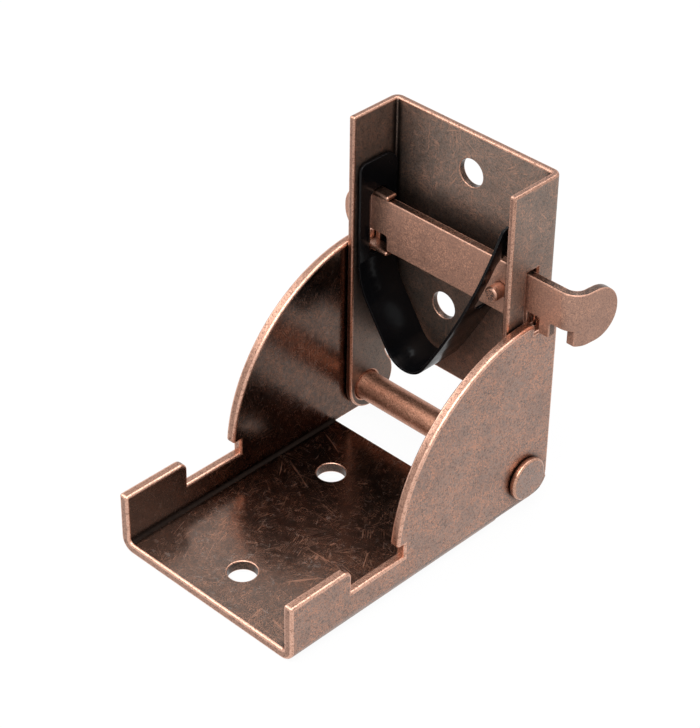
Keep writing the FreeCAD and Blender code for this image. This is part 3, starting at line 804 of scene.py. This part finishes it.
@dataclass
class LatchBar:
    """Strip on edge across the leg leaf, with the thumb pad at its right end."""

    back: float = 30.9
    pad_from: float = 23.4

    def zone(self, at: Vector, normal: Vector) -> Zone:
        """Kind of surface at a point of the bar.

        Args:
            at: Middle of the polygon in millimetres.
            normal: Its normal.

        Returns:
            The zone.
        """
        if abs(normal.z) > 0.5:
            return Zone.CUT
        if at.x < 22.0 and abs(normal.y) < 0.5:
            return Zone.CUT
        if at.x > 24.0 and at.y > self.back and abs(normal.x) < 0.7 and at.y > 36.0:
            return Zone.CUT
        return Zone.PAD if at.x > self.pad_from else Zone.FACE

    def build(self) -> List[bpy.types.Object]:
        """Dresses the latch bar.

        Returns:
            The dressed objects.
        """
        finishes = {
            Zone.FACE: AntiqueCopper("satin copper, latch bar", dark=(0.300, 0.180, 0.140),
                                     brown=(0.460, 0.270, 0.203), copper=(0.680, 0.385, 0.270), clouds=0.25,
                                     hairline=0.25, haze=0.15, darker_corners=0.5, rough=0.52, relief=0.25).build(),
            # Darker copy of the bar's satin copper; the darker colours are painted shade on the thumb pad.
            Zone.PAD: AntiqueCopper("satin copper, thumb pad", dark=(0.240, 0.150, 0.118),
                                    brown=(0.390, 0.236, 0.182), copper=(0.600, 0.350, 0.250), clouds=0.25,
                                    hairline=0.35, haze=0.15, darker_corners=0.5, rough=0.52, relief=0.25).build(),
            Zone.CUT: AntiqueCopper("grey copper, bar edges", dark=(0.050, 0.035, 0.030),
                                    brown=(0.115, 0.078, 0.065), copper=(0.320, 0.180, 0.125), clouds=0.3,
                                    hairline=0.4, haze=0.3, wear=0.26, darker_corners=0.3).build(),
        }
        return [SheetPiece("latch_bar", finishes, self.zone, rounding=0.20, rounded=Zone.FACE).dress()]


@dataclass
class StopStud:
    """Short round pin in the latch bar."""

    def zone(self, at: Vector, normal: Vector) -> Zone:
        """Kind of surface at a point of the stud."""
        return Zone.CUT if normal.y < -0.95 else Zone.FACE

    def build(self) -> List[bpy.types.Object]:
        """Dresses the stud.

        Returns:
            The dressed objects.
        """
        finishes = {
            Zone.FACE: AntiqueCopper("bright copper, stud", dark=(0.240, 0.135, 0.100),
                                     brown=(0.480, 0.285, 0.215), clouds=0.2, haze=0.1, darker_corners=0.3,
                                     rough=0.40).build(),
            Zone.CUT: AntiqueCopper("dark copper, stud end", dark=(0.050, 0.040, 0.035),
                                    brown=(0.150, 0.115, 0.100), clouds=0.3, haze=0.5, darker_corners=0.3,
                                    edge=(0.800, 0.580, 0.470)).build(),
        }
        return [SheetPiece("stop_stud", finishes, self.zone, rounding=0.08, segments=2,
                           rounded=Zone.FACE).dress()]


@dataclass
class ReturnSpring:
    """Black leaf spring, bent to a V. It narrows as the lever is pushed."""

    wall_in: float = 15.75
    travel_keep: float = 0.84

    def zone(self, at: Vector, normal: Vector) -> Zone:
        """Kind of surface at a point of the spring."""
        return Zone.CUT if abs(normal.y) > 0.9 else Zone.FACE

    def build(self) -> List[bpy.types.Object]:
        """Copies the spring's solid as a piece of its own, attached to the leg's body.

        Returns:
            The spring's object.
        """
        finishes = {
            Zone.FACE: BluedSpring("black spring steel").build(),
            Zone.CUT: BluedSpring("worn spring edges", grey=(0.380, 0.380, 0.390), rough=0.24).build(),
        }
        SheetPiece("return_spring", finishes, self.zone, rounding=0.08, segments=2).dress()
        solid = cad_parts["return_spring"]
        leaf = bpy.data.objects.new("spring_leaf", solid.data.copy())
        bpy.context.scene.collection.objects.link(leaf)
        for old in solid.modifiers:
            new = leaf.modifiers.new(old.name, old.type)
            for prop in old.bl_rna.properties:
                if not prop.is_readonly and prop.identifier not in ("name", "type"):
                    setattr(new, prop.identifier, getattr(old, prop.identifier))
        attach(leaf, "leg")
        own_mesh(leaf)
        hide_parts("return_spring")
        return [leaf]


@dataclass(frozen=True)
class Softbox:
    """One soft studio lamp aimed at the bracket."""

    name: str
    azimuth: float
    elevation: float
    distance: float
    size: Tuple[float, float]
    watts: float
    tint: Colour = (1.0, 1.0, 1.0)

    def build(self, target: Vector) -> bpy.types.Object:
        """Makes the lamp.

        Args:
            target: Point that the lamp faces, in metres.

        Returns:
            The lamp's object.
        """
        data = bpy.data.lights.new(self.name, "AREA")
        data.shape = "RECTANGLE"
        data.size, data.size_y = self.size
        data.energy = self.watts
        data.color = self.tint
        lamp = bpy.data.objects.new(self.name, data)
        a, e = math.radians(self.azimuth), math.radians(self.elevation)
        away = Vector((math.sin(a) * math.cos(e), -math.cos(a) * math.cos(e), math.sin(e)))
        lamp.location = target + away * self.distance
        lamp.rotation_euler = (-away).to_track_quat("-Z", "Y").to_euler()
        bpy.context.scene.collection.objects.link(lamp)
        return lamp


@dataclass
class Studio:
    """White ground, white surroundings, soft lamps and the camera."""

    ground_span: float = 3.0
    white: float = 1.0
    sky: float = 0.70
    target: Vector = field(default_factory=lambda: Vector((0.0, 0.008, 0.025)))

    def seen_white(self, tree: bpy.types.NodeTree, plain: Socket, share: float) -> Socket:
        """Mixes a plain shader with pure white for camera, mirror and glass rays.

        Args:
            tree: Tree that gets the nodes.
            plain: Shader socket for all other rays.
            share: Share of white that those rays see.

        Returns:
            The mixed shader's socket.
        """
        path = tree.nodes.new("ShaderNodeLightPath")
        seen: Socket = path.outputs["Is Camera Ray"]
        for ray in ("Is Glossy Ray", "Is Transmission Ray"):
            either = tree.nodes.new("ShaderNodeMath")
            either.operation = "MAXIMUM"
            tree.links.new(seen, either.inputs[0])
            tree.links.new(path.outputs[ray], either.inputs[1])
            seen = either.outputs[0]
        amount = tree.nodes.new("ShaderNodeMath")
        amount.operation = "MULTIPLY"
        tree.links.new(seen, amount.inputs[0])
        amount.inputs[1].default_value = share
        glow = tree.nodes.new("ShaderNodeEmission")
        glow.inputs["Strength"].default_value = self.white
        blend = tree.nodes.new("ShaderNodeMixShader")
        tree.links.new(amount.outputs[0], blend.inputs[0])
        tree.links.new(plain, blend.inputs[1])
        tree.links.new(glow.outputs[0], blend.inputs[2])
        return blend.outputs[0]

    def ground(self) -> bpy.types.Object:
        """Makes the pale floor, which shows white and keeps a faint shadow.

        Returns:
            The floor's object.
        """
        half = self.ground_span / 2
        mesh = bpy.data.meshes.new("ground")
        corners = [(-half, -half, 0.0), (half, -half, 0.0), (half, half, 0.0), (-half, half, 0.0)]
        mesh.from_pydata(corners, [], [(0, 1, 2, 3)])
        floor = bpy.data.objects.new("ground", mesh)
        bpy.context.scene.collection.objects.link(floor)
        material = bpy.data.materials.new("white ground")
        material.use_nodes = True
        tree = material.node_tree
        tree.nodes.clear()
        matte = tree.nodes.new("ShaderNodeBsdfDiffuse")
        matte.inputs["Color"].default_value = (0.86, 0.86, 0.86, 1.0)
        output = tree.nodes.new("ShaderNodeOutputMaterial")
        tree.links.new(self.seen_white(tree, matte.outputs[0], 0.95), output.inputs["Surface"])
        mesh.materials.append(material)
        return floor

    def surroundings(self) -> None:
        """Sets the even light around the bracket, white where the camera sees it."""
        world = bpy.data.worlds.new("studio")
        bpy.context.scene.world = world
        world.use_nodes = True
        tree = world.node_tree
        tree.nodes.clear()
        even = tree.nodes.new("ShaderNodeBackground")
        even.inputs["Strength"].default_value = self.sky
        output = tree.nodes.new("ShaderNodeOutputWorld")
        tree.links.new(self.seen_white(tree, even.outputs[0], 1.0), output.inputs["Surface"])

    def lamps(self) -> List[bpy.types.Object]:
        """Makes the soft lamps.

        Returns:
            The lamps' objects.
        """
        boxes = (
            Softbox("key softbox", 32.0, 56.0, 1.0, (0.8, 0.8), 8.0),
            Softbox("top softbox", 190.0, 72.0, 1.0, (0.8, 0.8), 5.0),
            Softbox("left softbox", -55.0, 40.0, 1.0, (0.7, 0.7), 4.0),
        )
        return [box.build(self.target) for box in boxes]

    def camera(self) -> bpy.types.Object:
        """Makes the camera at the photograph's viewing angle.

        Returns:
            The camera's object.
        """
        azimuth, elevation, roll = math.radians(43.99), math.radians(35.84), math.radians(0.81)
        data = bpy.data.cameras.new("camera")
        data.sensor_width = 36.0
        data.lens = 115.72
        data.clip_start = 0.01
        data.clip_end = 10.0
        eye = bpy.data.objects.new("camera", data)
        ahead = Vector((-math.sin(azimuth) * math.cos(elevation), math.cos(azimuth) * math.cos(elevation),
                        -math.sin(elevation)))
        right = ahead.cross(Vector((0.0, 0.0, 1.0))).normalized()
        up = right.cross(ahead)
        turned_right = right * math.cos(roll) + up * math.sin(roll)
        turned_up = up * math.cos(roll) - right * math.sin(roll)
        basis = Matrix((turned_right, turned_up, -ahead)).transposed().to_4x4()
        eye.matrix_world = Matrix.Translation((0.20102, -0.19979, 0.23840)) @ basis
        bpy.context.scene.collection.objects.link(eye)
        bpy.context.scene.camera = eye
        return eye

    def build(self) -> None:
        """Sets up the whole studio."""
        self.ground()
        self.surroundings()
        self.lamps()
        self.camera()
        bpy.context.scene.view_settings.view_transform = "Standard"


def main() -> None:
    """Dresses each sub-assembly in order and sets up the studio."""
    logging.basicConfig(level=logging.INFO, format="%(name)s: %(message)s")
    for part in (BaseLeaf(), LegLeaf(), PivotPin(), LatchBar(), StopStud(), ReturnSpring()):
        for piece in part.build():
            log.info("dressed %s of %s", piece.name, type(part).__name__)
    Studio().build()


if __name__ == "__main__":
    main()
